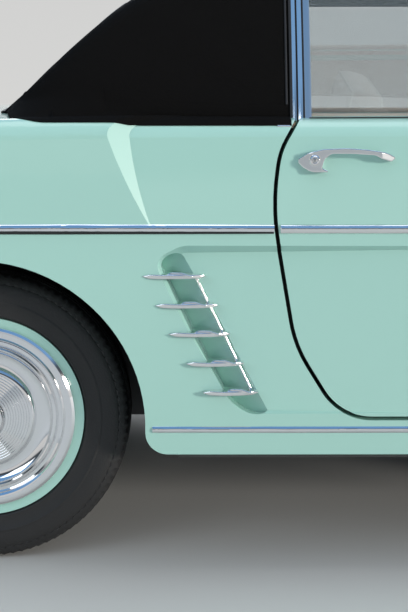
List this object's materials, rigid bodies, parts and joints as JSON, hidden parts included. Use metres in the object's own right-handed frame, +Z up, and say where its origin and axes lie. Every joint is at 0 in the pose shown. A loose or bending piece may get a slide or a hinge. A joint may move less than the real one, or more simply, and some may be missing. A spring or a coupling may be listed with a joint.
{
  "type": "two-door convertible car",
  "caption": "Rear-engined two-door open car with a raised soft top, hinged doors and lids, steered front wheels and free-turning wheels.",
  "frame": {"origin": "on the ground, midway between the bumpers' ends and between the two sides", "axes": "+X forward, +Y to the car's left, +Z up"},
  "size_m": [4.2598, 1.5768, 1.3121],
  "materials": {
    "body_paint": "gloss light mint green",
    "underbody_paint": "matt black underseal",
    "bright_trim": "polished",
    "glass": "clear",
    "clear_vinyl": "clear, slightly clouded",
    "top_fabric": "black woven cloth",
    "seat_trim": "satin",
    "ivory_plastic": "gloss",
    "red_lens": "gloss",
    "plate": "blank, satin",
    "cast_metal": "rough",
    "steel": "dull",
    "tyre": "matt",
    "wheel_paint": "gloss light mint green"
  },
  "bodies": {
    "body": {"rear_body": "body_paint", "front_body": "body_paint", "rockers": "body_paint", "floor_pan": "underbody_paint", "rear_bulkhead": "underbody_paint", "chassis_rails": "underbody_paint", "wheel_houses": "underbody_paint", "boot_floor": "underbody_paint", "body_trim": "bright_trim", "intake_blades": "bright_trim", "windscreen_frame": "bright_trim", "windscreen_glass": "glass", "soft_top": "top_fabric", "rear_window": "clear_vinyl", "front_seats": "seat_trim", "rear_seat": "seat_trim", "dashboard": "body_paint", "steering_wheel": "ivory_plastic", "front_bumper": "bright_trim", "rear_bumper": "bright_trim", "headlamp_rims": "bright_trim", "lamp_lenses": "glass", "tail_lamps": "red_lens", "number_plates": "plate", "engine": "cast_metal", "exhaust": "steel", "front_suspension": "cast_metal", "rear_axle": "cast_metal"},
    "front_lid": {"front_lid": "body_paint"},
    "engine_lid": {"engine_lid": "body_paint"},
    "door_left": {"door_left": "body_paint", "door_glass_left": "glass", "door_brightwork_left": "bright_trim"},
    "knuckle_left": {"knuckle_left": "cast_metal"},
    "door_right": {"door_right": "body_paint", "door_glass_right": "glass", "door_brightwork_right": "bright_trim"},
    "knuckle_right": {"knuckle_right": "cast_metal"},
    "wheel_front_left": {"tyre_front_left": "tyre", "rim_front_left": "wheel_paint", "hubcap_front_left": "bright_trim"},
    "wheel_front_right": {"tyre_front_right": "tyre", "rim_front_right": "wheel_paint", "hubcap_front_right": "bright_trim"},
    "wheel_rear_left": {"tyre_rear_left": "tyre", "rim_rear_left": "wheel_paint", "hubcap_rear_left": "bright_trim"},
    "wheel_rear_right": {"tyre_rear_right": "tyre", "rim_rear_right": "wheel_paint", "hubcap_rear_right": "bright_trim"}
  },
  "joints": [
    {"name": "steer_left", "type": "hinge", "parent": "body", "child": "knuckle_left", "pos_m": [1.225, 0.574, 0.3], "axis": [0, 0, 1], "range_deg": [-32, 32]},
    {"name": "steer_right", "type": "hinge", "parent": "body", "child": "knuckle_right", "pos_m": [1.225, -0.574, 0.3], "axis": [0, 0, 1], "range_deg": [-32, 32]},
    {"name": "front_left_wheel_spin", "type": "hinge", "parent": "knuckle_left", "child": "wheel_front_left", "pos_m": [1.225, 0.624, 0.3], "axis": [0, 1, 0], "continuous": true},
    {"name": "front_right_wheel_spin", "type": "hinge", "parent": "knuckle_right", "child": "wheel_front_right", "pos_m": [1.225, -0.624, 0.3], "axis": [0, 1, 0], "continuous": true},
    {"name": "rear_left_wheel_spin", "type": "hinge", "parent": "body", "child": "wheel_rear_left", "pos_m": [-1.04, 0.61, 0.3], "axis": [0, 1, 0], "continuous": true},
    {"name": "rear_right_wheel_spin", "type": "hinge", "parent": "body", "child": "wheel_rear_right", "pos_m": [-1.04, -0.61, 0.3], "axis": [0, 1, 0], "continuous": true},
    {"name": "door_right_hinge", "type": "hinge", "parent": "body", "child": "door_right", "pos_m": [0.644, -0.7625, 0.66], "axis": [0, 0, 1], "range_deg": [0, 62]},
    {"name": "door_left_hinge", "type": "hinge", "parent": "body", "child": "door_left", "pos_m": [0.644, 0.7625, 0.66], "axis": [0, 0, -1], "range_deg": [0, 62]},
    {"name": "front_lid_hinge", "type": "hinge", "parent": "body", "child": "front_lid", "pos_m": [0.796, 0, 0.94819], "axis": [0, -1, 0], "range_deg": [0, 50]},
    {"name": "engine_lid_hinge", "type": "hinge", "parent": "body", "child": "engine_lid", "pos_m": [-1.121, 0, 0.93216], "axis": [0, 1, 0], "range_deg": [0, 55]}
  ],
  "couplings": [
    {"joint": "steer_right", "follows": "steer_left", "ratio": 1}
  ]
}
